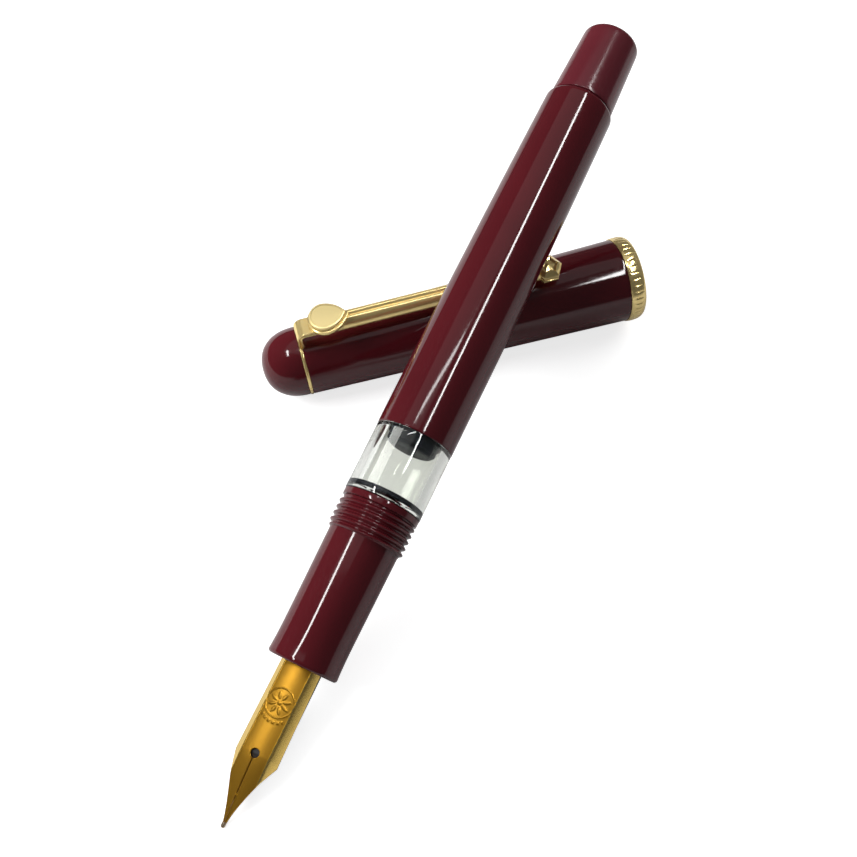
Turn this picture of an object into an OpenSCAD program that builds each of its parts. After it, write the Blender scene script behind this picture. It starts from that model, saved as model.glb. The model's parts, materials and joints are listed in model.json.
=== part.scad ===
// Piston-filling fountain pen, lying with its nib down across its own cap.
// Pen pieces are drawn in the pen's frame: X runs from the tip of the nib to the turning knob.
// Cap pieces are drawn in the cap's frame: X runs from the closed end to the mouth, Z is the clip side.

/* [Nib] */
// Length of nib that shows in front of the grip
nib_exposed = 21.9; // [16:0.2:26]
// Length of the nib's tail inside the grip
nib_tail = 9; // [6:0.5:10]
// Half of the nib's width at its shoulders
nib_shoulder_w = 3.1; // [2.6:0.1:3.3]
// Half of the nib's width at its root
nib_root_w = 2.9; // [2.4:0.1:3.1]
// Distance from the tip to the shoulders
nib_shoulder_at = 9.2; // [7:0.1:11]
// Height of the nib's crown over the pen's axis
nib_crown = 1.85; // [1.5:0.05:2.1]
// Radius that the nib is rolled to, outside
nib_roll_r = 3.7; // [3.6:0.05:4]
// Thickness of the nib's sheet
nib_sheet = 0.32; // [0.2:0.02:0.5]
// Radius of the breather hole
breather_r = 0.6; // [0.3:0.05:0.8]
// Distance from the tip to the breather hole
breather_at = 9.9; // [8:0.1:12]
// Width of the slit between the tines
slit_w = 0.08; // [0.05:0.01:0.15]
// Radius of the tipping pellet
pellet_r = 0.3; // [0.25:0.05:0.5]
// Length of the tipping pellet
pellet_length = 0.8; // [0.6:0.1:1.2]

/* [Feed] */
// Radius of the feed's underside
feed_r = 2.9; // [2.6:0.1:3.1]
// Distance from the nib's tip to the front of the feed
feed_front = 3.6; // [3:0.1:5]
// Number of fins under the feed
feed_fins = 13; // [8:1:18]
// Spacing of the fins
fin_pitch = 0.85; // [0.7:0.05:0.9]
// Depth of the slots between the fins
fin_depth = 1.1; // [0.6:0.1:1.3]
// Outer radius of the sleeve that holds nib and feed
sleeve_r = 4; // [3.9:0.05:4.1]

/* [Grip section] */
// Length of the grip from its lip to the ink window
section_length = 24; // [22:0.2:28]
// Radius of the lip at the nib end
lip_r = 5.05; // [4.9:0.05:5.15]
// Radius of the waist behind the lip
waist_r = 4.83; // [4.6:0.01:5]
// Radius at the rear of the grip
grip_rear_r = 5.1; // [4.9:0.05:5.15]
// Length of the cap thread
thread_length = 4.7; // [3:0.1:6]
// Crest radius of the cap thread
thread_r = 5.6; // [5.4:0.05:5.65]
// Pitch of the cap thread
thread_pitch = 0.93; // [0.7:0.05:1.2]
// Depth of the cap thread
thread_depth = 0.42; // [0.3:0.02:0.45]
// Length of the plain collar behind the thread
collar_length = 1; // [0.6:0.1:2]

/* [Ink window and reservoir] */
// Length of window that shows
window_length = 10.2; // [8:0.2:14]
// Outer radius of the window
window_r = 5.65; // [5.5:0.05:5.7]
// Radius of the reservoir's bore
bore_r = 4.1; // [3.8:0.05:4.2]
// Thickness of the window's floor
window_floor = 0.9; // [0.6:0.1:1.5]
// Length of reservoir tube inside the barrel
reservoir_length = 32; // [28:0.5:34]
// Thickness of the gasket on the window's floor
gasket_t = 0.9; // [0.5:0.1:1.2]

/* [Barrel] */
// Length of the barrel shell
barrel_length = 58.5; // [56:0.5:70]
// Radius at the window
barrel_front_r = 5.7; // [5.65:0.05:6.2]
// Radius at the knob
barrel_rear_r = 5.38; // [5.3:0.02:5.7]
// How far the middle swells past a straight taper
barrel_swell = 0.07; // [0:0.01:0.2]
// Radius of the reservoir seat inside the barrel
barrel_bore_r = 5; // [4.9:0.05:5.1]
// Rounding of the barrel's rear edge
barrel_edge_r = 0.8; // [0.4:0.1:1]

/* [Turning knob] */
// Length of the knob
knob_length = 13.25; // [10:0.25:18]
// Radius at the barrel end
knob_front_r = 4.95; // [4.7:0.05:5]
// Radius at the free end
knob_rear_r = 4.45; // [4.1:0.05:4.7]
// Rounding of the free end's edge
knob_edge_r = 1.1; // [0.5:0.1:1.6]
// Height of the dome on the end face
knob_dome = 0.45; // [0.2:0.05:0.8]
// Gap between knob and barrel
knob_gap = 0.15; // [0.1:0.05:0.4]

/* [Piston] */
// Travel of the piston towards the nib from rest
stroke_forward = 5.2; // [2:0.1:5.4]
// Travel of the piston towards the knob from rest
stroke_back = 13.5; // [8:0.5:13.5]
// Travel of the piston for one turn of the knob
screw_lead = 4; // [2:0.5:6]
// Distance from the window's rear edge to the seal's front face
seal_shown = 2.7; // [1:0.1:3]
// Length of the seal
seal_length = 6.9; // [5:0.1:8]
// Radius of the piston rod
rod_r = 2.5; // [2.3:0.1:2.8]
// Length of the piston rod
rod_length = 42; // [41.5:0.5:43]
// Distance across the rod's two flats
rod_flats = 4.2; // [3.8:0.1:4.6]
// Radius of the spindle's lobes
spindle_r = 1.55; // [1.2:0.05:1.7]

/* [Cap] */
// Length of the cap
cap_length = 61.2; // [58:0.2:70]
// Length of the domed finial
finial_length = 6.3; // [5:0.1:8]
// Radius of the finial at its base
finial_r = 5.46; // [5.4:0.02:6]
// Thickness of the clip ring
ring_t = 0.5; // [0.3:0.05:1]
// Radius of the clip ring
ring_r = 5.57; // [5.5:0.01:6.1]
// Radius of the cap tube next to the clip ring
tube_front_r = 5.5; // [5.45:0.05:6]
// Radius of the cap tube next to the mouth band
tube_rear_r = 6.66; // [6.5:0.02:7.2]
// Radius of the bore at the mouth
mouth_bore_r = 5.85; // [5.8:0.05:6]
// Radius of the bore past the thread
cap_bore_r = 5.15; // [5.1:0.05:5.25]
// Length of the mouth band
band_length = 2.5; // [1.5:0.1:6]
// Largest radius of the mouth band
band_r = 6.86; // [6.7:0.02:7.4]
// Thickness of the cap's end wall
cap_end_t = 1.5; // [1:0.1:2]
// Radius of the seat for the inner liner
liner_seat_r = 4.75; // [4.5:0.05:4.8]
// Wall of the inner liner
liner_wall = 0.8; // [0.5:0.1:1]
// Length of window that stays in view when the pen is capped
window_shown_capped = 5.8; // [5.5:0.2:7]

/* [Clip] */
// Distance from the closed end to the centre of the clip's end piece
clip_end_at = 46.2; // [40:0.2:50]
// Radius of the rolled arm
arm_r = 1.45; // [1.2:0.05:1.8]
// Height of the arm's centre over the cap's axis
arm_height = 8.3; // [8:0.05:9]
// Width of the stem that rises from the ring
stem_w = 3; // [2:0.1:4]
// Thickness of the clip's sheet
clip_sheet = 0.85; // [0.5:0.05:1.2]
// Distance from the closed end to the centre of the medallion
medallion_at = 11; // [10.5:0.1:12]
// Half of the medallion's width
medallion_r = 2.25; // [1.8:0.05:2.6]
// Thickness of each of the medallion's two plates
medallion_t = 0.8; // [0.5:0.05:1]
// Radius over the corners of the end piece
clip_end_r = 2.3; // [1.8:0.1:2.6]

/* [Lying position] */
// Angle between the cap and the pen, seen from above
cap_yaw = 47.65; // [40:0.5:60]
// Lean of the clip from straight up
cap_roll = 6; // [0:1:20]
// Station of the pen that lies over the cap
cross_pen = 90.2; // [80:0.2:94]
// Station of the cap that lies under the pen
cross_cap = 40.6; // [34:0.2:43]
// Gap left between the barrel and the clip's arm
rest_gap = 0.05; // [0.03:0.01:0.2]

/* [Hidden] */

BURGUNDY = [0.36, 0.06, 0.10];
GOLD = [0.86, 0.66, 0.28];
BLACK = [0.06, 0.06, 0.07];
CLEAR = [0.80, 0.82, 0.78, 0.5];
IVORY = [0.88, 0.86, 0.80];
STEEL = [0.70, 0.70, 0.72];

fit_gap = 0.02;      // pieces that are screwed or pressed together
slide_gap = 0.06;    // pieces that slide or turn in one another
loose_gap = 0.15;    // pieces that only pass by one another
past = 1;            // how far a cut runs past the solid it cuts

// Stations along the pen
section_at = nib_exposed;
thread_end = section_at + section_length - collar_length;
thread_start = thread_end - thread_length;
window_at = section_at + section_length;
window_end = window_at + window_length;
reservoir_end = window_end + reservoir_length;
barrel_end = window_end + barrel_length;
knob_at = barrel_end + knob_gap;
pen_length = knob_at + knob_length;

// Nib unit
nib_end = section_at + nib_tail;
nib_tip_w = pellet_r * 0.92;
roll_r = max(nib_roll_r, nib_shoulder_w + nib_sheet + 0.2);
tine_step = 0.02;     // the tines start this much under the level part's crown
sleeve_bore_r = max(feed_r, norm([nib_root_w, 0.4]), nib_crown) + loose_gap;
sleeve_at = section_at + 1.2;
sleeve_end = nib_end + 3.4;
ink_channel_r = 1.5;
spigot_r = 4.2;
spigot_length = 6;

// Piston, spindle and housing
seal_at = window_end - seal_shown;
seal_r = bore_r - 0.04;
stud_r = 1.6;
stud_at = seal_at + 2;
rod_at = seal_at + seal_length;
rod_end = rod_at + rod_length - (seal_length - 2);
rod_bore_r = spindle_r + 0.35;
rod_bore_at = rod_at + 1.2;
spindle_at = rod_bore_at + stroke_back + 0.5;
housing_at = reservoir_end + 0.4;
guide_length = 4;
housing_r = barrel_bore_r - 0.06;
chamber_r = rod_r + 0.4;
flange_r = 3.4;
flange_t = 1.2;
retainer_t = 1.2;
retainer_end = barrel_end - 1;
retainer_at = retainer_end - retainer_t;
flange_at = retainer_at - flange_t - slide_gap / 2;
spindle_stem_r = 2;
knob_hub_depth = 6;
washer_t = 0.4;
knob_neck_r = 3.9;
barrel_mouth_r = 4.2;

// Stations along the cap
ring_at = finial_length;
tube_at = ring_at + ring_t;
band_at = cap_length - band_length;
pen_in_cap = cap_length - (window_end - window_shown_capped);
thread_zone_at = pen_in_cap + thread_start - 0.3;
thread_zone_end = pen_in_cap + thread_end + 0.3;
liner_at = tube_at + cap_end_t + fit_gap;
liner_end = pen_in_cap + section_at - 0.1;
liner_r = liner_seat_r - fit_gap;
liner_floor = 1.8;
boss_r = 3;
boss_length = 1;
screw_r = 1.5;
screw_head_r = 2.8;
screw_head_t = 0.8;
screw_depth = 3;
screw_head_at = liner_at + liner_floor - screw_head_t;
band_seat_r = mouth_bore_r + 0.42;
band_lip = 0.5;

// Clip
plate_top = arm_height + 1;
plate_bottom = plate_top - clip_sheet;
clip_root_z = ring_r + 0.08;
arm_at = medallion_at + 1.6;
face_r = medallion_r;
base_r = medallion_r + 0.3;
end_piece_bottom = arm_height - 0.65;
end_piece_top = arm_height + 1.35;
end_bevel = 0.75;

// Radius of the barrel at a station of the pen
function barrel_radius(s) =
    let (u = (s - window_end) / barrel_length)
    barrel_front_r + (barrel_rear_r - barrel_front_r) * u * u + 4 * barrel_swell * u * (1 - u);

// Radius of the cap tube at a station of the cap
function tube_radius(c) =
    tube_front_r + (tube_rear_r - tube_front_r) * (c - tube_at) / (band_at - tube_at);

// Outline of the finial, a superellipse turned about the cap's axis
finial_steps = 18;
finial_outline = [for (i = [0:finial_steps])
    let (a = 90 * i / finial_steps)
    [finial_r * pow(sin(a), 2 / 2.3), finial_length * (1 - pow(cos(a), 2 / 2.3))]];

// Outline of the knob's free end: taper, rounded edge, low dome
function knob_radius(s) = knob_front_r + (knob_rear_r - knob_front_r) * (s - knob_at) / knob_length;
knob_edge_at = pen_length - knob_dome - knob_edge_r;
knob_outline = concat(
    [[knob_front_r - 0.15, knob_at], [knob_front_r, knob_at + 0.15]],
    [for (a = [0:9:81]) [knob_radius(knob_edge_at) - knob_edge_r * (1 - cos(a)),
        knob_edge_at + knob_edge_r * sin(a)]],
    [for (u = [1:-0.125:0]) [(knob_radius(knob_edge_at) - knob_edge_r) * u,
        pen_length - knob_dome * u * u]]);

// Outline of the mouth band, bulged between its two edges
band_steps = 10;
band_outline = [for (i = [0:band_steps])
    let (u = i / band_steps)
    [tube_rear_r + 0.04 + (band_r - tube_rear_r - 0.04) * pow(sin(180 * pow(u, 0.75)), 0.6)
        - 0.3 * pow(u, 6), band_at + band_length * u]];

// How the cap lies: on the widest part of its band and on its clip ring
band_widest = max([for (p = band_outline) p[0]]);
band_widest_at = [for (p = band_outline) if (p[0] == band_widest) p[1]][0];
ring_mid = ring_at + ring_t;
cap_tilt = atan((band_widest - ring_r) / (band_widest_at - ring_mid));
cap_origin_z = ring_r * cos(cap_tilt) - ring_mid * sin(cap_tilt);

// Direction of a line that climbs by tilt and points to yaw
function heading(tilt, yaw) = [cos(tilt) * cos(yaw), cos(tilt) * sin(yaw), sin(tilt)];
cap_dir = heading(cap_tilt, -cap_yaw);
cap_up = heading(90 - cap_tilt, 180 - cap_yaw);
cap_side = [-sin(cap_yaw), -cos(cap_yaw), 0];
clip_dir = cap_up * cos(cap_roll) + cap_side * sin(cap_roll);

// Height of the pen's origin when the pellet touches the floor
function tip_height(tilt) = pellet_r * (1 - sin(tilt));

// Place of the cap's closed end, found from where the two pieces cross
function cap_origin(tilt) =
    [cross_pen * cos(tilt) - cross_cap * cap_dir[0], -cross_cap * cap_dir[1], cap_origin_z];

// Distance between the pen's axis and the arm's centre line
function axis_distance(tilt) =
    let (normal = cross(heading(tilt, 0), cap_dir),
        between = cap_origin(tilt) + arm_height * clip_dir - [0, 0, tip_height(tilt)])
    abs(between * normal) / norm(normal);

// Tilt at which the barrel comes to rest on the arm
wanted_distance = barrel_radius(cross_pen) + arm_r + rest_gap;
degrees_per_mm = 180 / PI / cross_pen;
function settle(tilt, turns) = turns == 0 ? tilt
    : settle(tilt + (wanted_distance - axis_distance(tilt)) * degrees_per_mm, turns - 1);
pen_tilt = settle(14, 40);
cap_place = cap_origin(pen_tilt);
tip_z = tip_height(pen_tilt);

// Middle of the whole object's box, so that the origin lies at its bottom centre
x_low = pellet_r * (cos(pen_tilt) - 1);
x_high = max([for (p = knob_outline) p[1] * cos(pen_tilt) + p[0] * sin(pen_tilt)]);
across = sqrt(1 - cap_dir[1] * cap_dir[1]);
y_high = max([for (p = finial_outline) cap_place[1] + p[1] * cap_dir[1] + p[0] * across]);
y_low = min([for (p = band_outline) cap_place[1] + p[1] * cap_dir[1] - p[0] * across]);
middle = [(x_low + x_high) / 2, (y_low + y_high) / 2, 0];

module pen_frame() {
    translate([0, 0, tip_z] - middle) rotate([0, -pen_tilt, 0]) children();
}

module cap_frame() {
    translate(cap_place - middle) rotate([cap_roll, -cap_tilt, -cap_yaw]) children();
}

// Turns a flat (radius, station) drawing about the X axis
module turned() {
    rotate([0, 90, 0]) rotate_extrude($fn = 96) children();
}

// A plain ring or tube as a flat drawing
module wall(r_in, r_out, from, to) {
    translate([r_in, from]) square([r_out - r_in, to - from]);
}

// A rod along X
module rod(r, from, to) {
    translate([from, 0, 0]) rotate([0, 90, 0]) cylinder(r = r, h = to - from, $fn = 64);
}

// ---- Nib unit ----

function nib_half_width(s) = s < nib_shoulder_at
    ? nib_tip_w + (nib_shoulder_w - nib_tip_w)
        * pow((s - pellet_length) / (nib_shoulder_at - pellet_length), 1.25)
    : nib_shoulder_w + (nib_root_w - nib_shoulder_w) * (s - nib_shoulder_at)
        / (section_at - nib_shoulder_at) * (s > section_at ? (section_at - nib_shoulder_at)
        / (s - nib_shoulder_at) : 1);

// Slope of the tines from the breather hole down to the pellet
nib_droop = atan((nib_crown - pellet_r * 0.8) / (breather_at - pellet_length));

function nib_crown_at(s) = nib_crown - max(0, breather_at - s) * tan(nib_droop);

nib_stations = concat(
    [for (i = [0:11]) pellet_length + (nib_shoulder_at - pellet_length) * i / 12],
    [nib_shoulder_at, section_at, nib_end]);

module nib_plan() {
    side = [for (s = nib_stations) [s, nib_half_width(s)]];
    polygon(concat(side, [for (i = [len(side) - 1:-1:0]) [side[i][0], -side[i][1]]]));
}

// A long shape whose top line is the crown: level behind the breather hole, drooping ahead of it
module follow_crown() {
    reach = nib_end;
    translate([breather_at, 0, nib_crown]) intersection() {
        children();
        translate([0, -reach, -reach]) cube([2 * reach, 2 * reach, 2 * reach]);
    }
    translate([breather_at, 0, nib_crown - tine_step]) intersection() {
        rotate([0, -nib_droop, 0]) children();
        translate([-2 * reach, -reach, -reach]) cube([2 * reach, 2 * reach, 2 * reach]);
    }
}

// A rod whose top line is the X axis
module hung_rod(r) {
    translate([0, 0, -roll_r]) rod(r, -breather_at - past, nib_end);
}

module nib() {
    color(GOLD) pen_frame() difference() {
        intersection() {
            follow_crown() difference() {
                hung_rod(roll_r);
                hung_rod(roll_r - nib_sheet);
            }
            translate([0, 0, -2 * past]) linear_extrude(height = nib_crown + 4 * past) nib_plan();
        }
        translate([breather_at, 0, 0]) cylinder(r = breather_r, h = nib_crown + past, $fn = 32);
        translate([0, -slit_w / 2, -past]) cube([breather_at, slit_w, nib_crown + 2 * past]);
    }
}

module nib_tipping() {
    color(STEEL) pen_frame() {
        translate([pellet_r, 0, 0]) sphere(r = pellet_r, $fn = 32);
        rod(pellet_r, pellet_r, pellet_length);
    }
}

// The feed's top follows the underside of the nib, and its fins comb the ink below
module feed() {
    top_r = roll_r - nib_sheet - fit_gap * 2;
    feed_end = nib_end + 2;
    under_crown = nib_crown - nib_sheet - 0.1;
    front_top = nib_crown_at(feed_front) - nib_sheet - 0.1;
    front_t = 0.5;
    front_w = nib_half_width(feed_front) * 0.6;
    wide_at = breather_at + 1;
    deep_at = section_at - feed_fins * fin_pitch;
    color(BLACK) pen_frame() difference() {
        intersection() {
            rod(feed_r, feed_front, feed_end);
            follow_crown() hung_rod(top_r);
            translate([0, 0, -feed_r - past]) linear_extrude(height = 2 * (feed_r + past))
                polygon([[feed_front, -front_w], [wide_at, -feed_r], [feed_end + past, -feed_r],
                    [feed_end + past, feed_r], [wide_at, feed_r], [feed_front, front_w]]);
            translate([0, feed_r + past, 0]) rotate([90, 0, 0])
                linear_extrude(height = 2 * (feed_r + past))
                    polygon([[feed_front, front_top], [breather_at, under_crown],
                        [feed_end + past, under_crown], [feed_end + past, -feed_r - past],
                        [deep_at + 4, -feed_r - past], [feed_front, front_top - front_t]]);
        }
        for (i = [0:feed_fins - 1])
            translate([deep_at + (i - 0.7) * fin_pitch, -feed_r - past, -feed_r - past])
                cube([fin_pitch * 0.4, 2 * (feed_r + past), past + fin_depth]);
    }
}

module nib_sleeve() {
    color(BLACK) pen_frame() turned() wall(sleeve_bore_r, sleeve_r - fit_gap, sleeve_at, sleeve_end);
}

// ---- Grip section ----

// Teeth of a thread as a flat drawing: a row of triangles that stand out from the root line
module thread_teeth(root_r, crest_r, from, count, pitch) {
    for (i = [0:count - 1])
        translate([0, from + i * pitch])
            polygon([[root_r - 0.05, 0], [root_r, 0], [crest_r, pitch * 0.38], [crest_r, pitch * 0.52],
                [root_r, pitch * 0.9], [root_r - 0.05, pitch * 0.9]]);
}

thread_count = floor(thread_length / thread_pitch);
thread_root_r = thread_r - thread_depth;

// Radius of the grip between lip and thread, waisted behind the lip
function grip_radius(s) =
    let (u = (s - section_at) / (thread_start - section_at))
    waist_r + (grip_rear_r - waist_r) * u + (lip_r - waist_r) * pow(1 - u, 9);

module grip_section() {
    lip_round = 0.5;
    grip_steps = 16;
    color(BURGUNDY) pen_frame() turned() difference() {
        union() {
            polygon(concat([[0, section_at], [lip_r - lip_round, section_at]],
                [for (a = [15:15:75]) [lip_r - lip_round * (1 - sin(a)),
                    section_at + lip_round * (1 - cos(a))]],
                [for (i = [1:grip_steps])
                    let (s = section_at + lip_round + (thread_start - section_at - lip_round)
                        * i / grip_steps) [grip_radius(s), s]],
                [[thread_root_r, thread_start], [thread_root_r, thread_end],
                    [window_r - 0.12, thread_end + 0.2], [window_r - 0.05, window_at],
                    [0, window_at]]));
            thread_teeth(thread_root_r, thread_r, thread_start, thread_count, thread_pitch);
        }
        wall(-past, sleeve_r - 0.2, section_at - past, sleeve_at);
        wall(-past, sleeve_r, section_at, sleeve_end);
        wall(-past, ink_channel_r, section_at, window_at + past);
        wall(-past, spigot_r, window_at - spigot_length, window_at + past);
    }
}

// ---- Ink window with its reservoir tube ----

module ink_window() {
    neck_r = barrel_bore_r - fit_gap;
    color(CLEAR) pen_frame() turned() difference() {
        union() {
            wall(0, spigot_r - fit_gap, window_at - spigot_length + fit_gap, window_at);
            wall(0, window_r, window_at, window_end);
            wall(0, neck_r, window_end, reservoir_end);
        }
        wall(-past, ink_channel_r, window_at - spigot_length, window_at + window_floor + past);
        wall(-past, bore_r, window_at + window_floor, reservoir_end + past);
    }
}

module window_gasket() {
    gasket_at = window_at + window_floor;
    color(BLACK) pen_frame() turned() difference() {
        wall(ink_channel_r, bore_r - fit_gap, gasket_at, gasket_at + gasket_t);
        translate([bore_r, gasket_at + gasket_t]) circle(r = 0.3, $fn = 24);
    }
}

// ---- Barrel ----

module barrel() {
    barrel_steps = 20;
    edge_at = barrel_end - barrel_edge_r;
    color(BURGUNDY) pen_frame() turned() difference() {
        polygon(concat([[0, window_end]],
            [for (i = [0:barrel_steps])
                let (s = window_end + (edge_at - window_end) * i / barrel_steps)
                [barrel_radius(s), s]],
            [for (a = [15:15:90]) [barrel_radius(edge_at) - barrel_edge_r * (1 - cos(a)),
                edge_at + barrel_edge_r * sin(a)]],
            [[0, barrel_end]]));
        wall(-past, barrel_bore_r, window_end - past, retainer_end);
        wall(-past, barrel_mouth_r, window_end, barrel_end + past);
    }
}

// ---- Filling mechanism ----

// A round bar with two flats, along X
module flatted_bar(r, flats, from, to) {
    intersection() {
        rod(r, from, to);
        translate([from - past, -r - past, -flats / 2]) cube([to - from + 2 * past, 2 * (r + past), flats]);
    }
}

module mechanism_housing() {
    groove_r = 0.45;
    color(IVORY) pen_frame() difference() {
        turned() difference() {
            wall(0, housing_r, housing_at, retainer_end - fit_gap);
            wall(-past, chamber_r, housing_at + guide_length, flange_at);
            wall(-past, flange_r + slide_gap, flange_at - slide_gap / 2, retainer_end + past);
            wall(-past, retaining_r + fit_gap, retainer_at, retainer_end + past);
            translate([housing_r, housing_at + 1.5]) circle(r = groove_r, $fn = 24);
        }
        flatted_bar(rod_r + slide_gap, rod_flats + 2 * slide_gap, housing_at - past,
            housing_at + guide_length + past);
    }
}

retaining_r = 4.2;

module housing_o_ring() {
    color(BLACK) pen_frame() turned()
        intersection() {
            translate([housing_r, housing_at + 1.5]) circle(r = 0.43, $fn = 24);
            wall(0, barrel_bore_r - 0.01, housing_at, housing_at + 3);
        }
}

module retaining_ring() {
    color(STEEL) pen_frame() turned()
        wall(spindle_stem_r + slide_gap, retaining_r, retainer_at + fit_gap / 2, retainer_end);
}

module piston_rod() {
    color(IVORY) pen_frame() {
        difference() {
            flatted_bar(rod_r, rod_flats, rod_at, rod_end);
            rod(rod_bore_r, rod_bore_at, rod_end + past);
        }
        rod(stud_r, stud_at, rod_at);
    }
}

module piston_seal() {
    nose_r = 2.6;
    lip_t = 0.7;
    color(BLACK) pen_frame() turned() difference() {
        union() {
            polygon([[0, seal_at], [nose_r - 0.4, seal_at], [nose_r, seal_at + 0.4],
                [seal_r - 0.4, seal_at + seal_shown - 0.1], [seal_r - 0.4, seal_at + seal_length],
                [0, seal_at + seal_length]]);
            wall(0, seal_r, seal_at + seal_shown + 0.2, seal_at + seal_shown + 0.2 + lip_t);
            wall(0, seal_r, seal_at + seal_length - lip_t, seal_at + seal_length);
        }
        wall(-past, stud_r + fit_gap, stud_at - fit_gap, seal_at + seal_length + past);
    }
}

// A three-lobed shaft twisted into a steep screw, with its collar and its stem
module spindle() {
    lobes = 3;
    screw_length = flange_at + flange_t / 2 - spindle_at;
    color(IVORY) pen_frame() {
        translate([spindle_at, 0, 0]) rotate([0, 90, 0])
            linear_extrude(height = screw_length, twist = -360 * screw_length / (screw_lead * lobes),
                slices = 40)
                polygon([for (a = [0:20:340]) (spindle_r - 0.22 * (1 - cos(lobes * a)))
                    * [cos(a), sin(a)]]);
        rod(flange_r, flange_at, flange_at + flange_t);
        rod(spindle_stem_r, flange_at + flange_t, knob_at + knob_hub_depth - fit_gap);
    }
}

module turning_knob() {
    neck_at = retainer_end + washer_t + 2 * slide_gap;
    color(BURGUNDY) pen_frame() turned() difference() {
        union() {
            polygon(concat([[0, knob_at]], knob_outline));
            wall(0, knob_neck_r, neck_at, knob_at);
        }
        wall(-past, spindle_stem_r + fit_gap, neck_at - past, knob_at + knob_hub_depth);
    }
}

module friction_washer() {
    washer_at = retainer_end + slide_gap;
    color(BLACK) pen_frame() turned()
        wall(spindle_stem_r + fit_gap, knob_neck_r - 0.1, washer_at, washer_at + washer_t);
}

// ---- Cap ----

module cap_tube() {
    inner_crest_r = thread_root_r + slide_gap * 2;
    color(BURGUNDY) cap_frame() turned() difference() {
        union() {
            polygon([[0, tube_at], [tube_front_r, tube_at], [tube_rear_r, band_at], [0, band_at]]);
            wall(0, band_seat_r, band_at, cap_length - band_lip);
        }
        wall(-past, boss_r + fit_gap, tube_at - past, tube_at + boss_length + fit_gap);
        wall(-past, screw_r + fit_gap, tube_at, liner_at);
        wall(-past, liner_seat_r, tube_at + cap_end_t, liner_end + past);
        wall(-past, cap_bore_r, liner_end, thread_zone_at);
        wall(-past, inner_crest_r, thread_zone_at - past, thread_zone_end);
        thread_teeth(inner_crest_r, thread_r + slide_gap * 2, thread_zone_at + 0.1,
            thread_count, thread_pitch);
        wall(-past, mouth_bore_r, thread_zone_end, cap_length + past);
    }
}

module cap_liner() {
    color(BLACK) cap_frame() turned() difference() {
        wall(0, liner_r, liner_at, liner_end);
        wall(-past, liner_r - liner_wall, liner_at + liner_floor, liner_end + past);
        wall(-past, screw_r + fit_gap, liner_at - past, liner_at + liner_floor + past);
        wall(-past, screw_head_r + fit_gap, screw_head_at, liner_at + liner_floor + past);
    }
}

module cap_band() {
    color(GOLD) cap_frame() turned() difference() {
        polygon(concat([[0, band_at]], band_outline, [[0, cap_length]]));
        wall(-past, band_seat_r + fit_gap, band_at - past, cap_length - band_lip + fit_gap);
        wall(-past, mouth_bore_r, band_at, cap_length + past);
    }
}

module cap_finial() {
    color(BURGUNDY) cap_frame() turned() difference() {
        union() {
            polygon(concat(finial_outline, [[0, finial_length]]));
            wall(0, boss_r, finial_length, tube_at + boss_length);
        }
        wall(-past, screw_r + fit_gap, finial_length - screw_depth - fit_gap, tube_at + cap_end_t);
    }
}

module finial_screw() {
    color(STEEL) cap_frame() difference() {
        union() {
            rod(screw_r, finial_length - screw_depth, screw_head_at);
            rod(screw_head_r, screw_head_at, screw_head_at + screw_head_t);
        }
        translate([screw_head_at + screw_head_t / 2, -0.3, -screw_head_r - past])
            cube([past, 0.6, 2 * (screw_head_r + past)]);
    }
}

// ---- Clip ----

module clip_ring() {
    color(GOLD) cap_frame() turned()
        wall(boss_r + fit_gap, ring_r, ring_at, tube_at);
}

// Side view of the stem: up from the ring, over a rounded shoulder, forward to the arm
module stem_profile() {
    shoulder_r = 1.3;
    difference() {
        union() {
            translate([ring_at, clip_root_z]) square([clip_sheet, plate_top - shoulder_r - clip_root_z]);
            intersection() {
                translate([ring_at + shoulder_r, plate_top - shoulder_r]) circle(r = shoulder_r, $fn = 48);
                translate([ring_at, plate_top - shoulder_r]) square([shoulder_r, shoulder_r]);
            }
            translate([ring_at + shoulder_r, plate_bottom])
                square([arm_at + 1 - ring_at - shoulder_r, clip_sheet]);
            translate([ring_at + clip_sheet / 2, plate_bottom - 0.4]) square([1.2, 0.8]);
        }
        translate([ring_at + clip_sheet + 1.2, plate_bottom - 0.4]) circle(r = 0.4, $fn = 32);
    }
}

module clip() {
    groove_r = 0.25;
    foot_r = 1;
    foot_bottom = tube_radius(clip_end_at + foot_r) + 0.1;
    color(GOLD) cap_frame() {
        translate([0, stem_w / 2, 0]) rotate([90, 0, 0]) linear_extrude(height = stem_w) stem_profile();
        difference() {
            translate([0, 0, arm_height]) rod(arm_r, arm_at, clip_end_at);
            translate([arm_at - past, -arm_r - past, arm_height - arm_r - past])
                cube([clip_end_at - arm_at + 2 * past, 2 * (arm_r + past), arm_r + past - 0.5]);
            translate([0, arm_r * 0.45, arm_height + arm_r * 0.93])
                rod(groove_r, arm_at - past, clip_end_at + past);
        }
        translate([clip_end_at, 0, end_piece_bottom])
            cylinder(r = clip_end_r, h = end_piece_top - end_bevel - end_piece_bottom, $fn = 6);
        translate([clip_end_at, 0, end_piece_top - end_bevel])
            cylinder(r1 = clip_end_r, r2 = clip_end_r - 0.9, h = end_bevel, $fn = 6);
        translate([clip_end_at, 0, foot_bottom])
            cylinder(r = foot_r, h = end_piece_bottom - foot_bottom + 0.1, $fn = 48);
    }
}

// Outline of a medallion plate: round towards the closed end, pointed towards the mouth
module medallion_outline(r) {
    point_r = r * 1.75;
    union() {
        circle(r = r, $fn = 96);
        intersection() {
            translate([-0.1 * r, point_r - r]) circle(r = point_r, $fn = 96);
            translate([-0.1 * r, r - point_r]) circle(r = point_r, $fn = 96);
            translate([0, -2 * r]) square([2 * r, 4 * r]);
        }
    }
}

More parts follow.
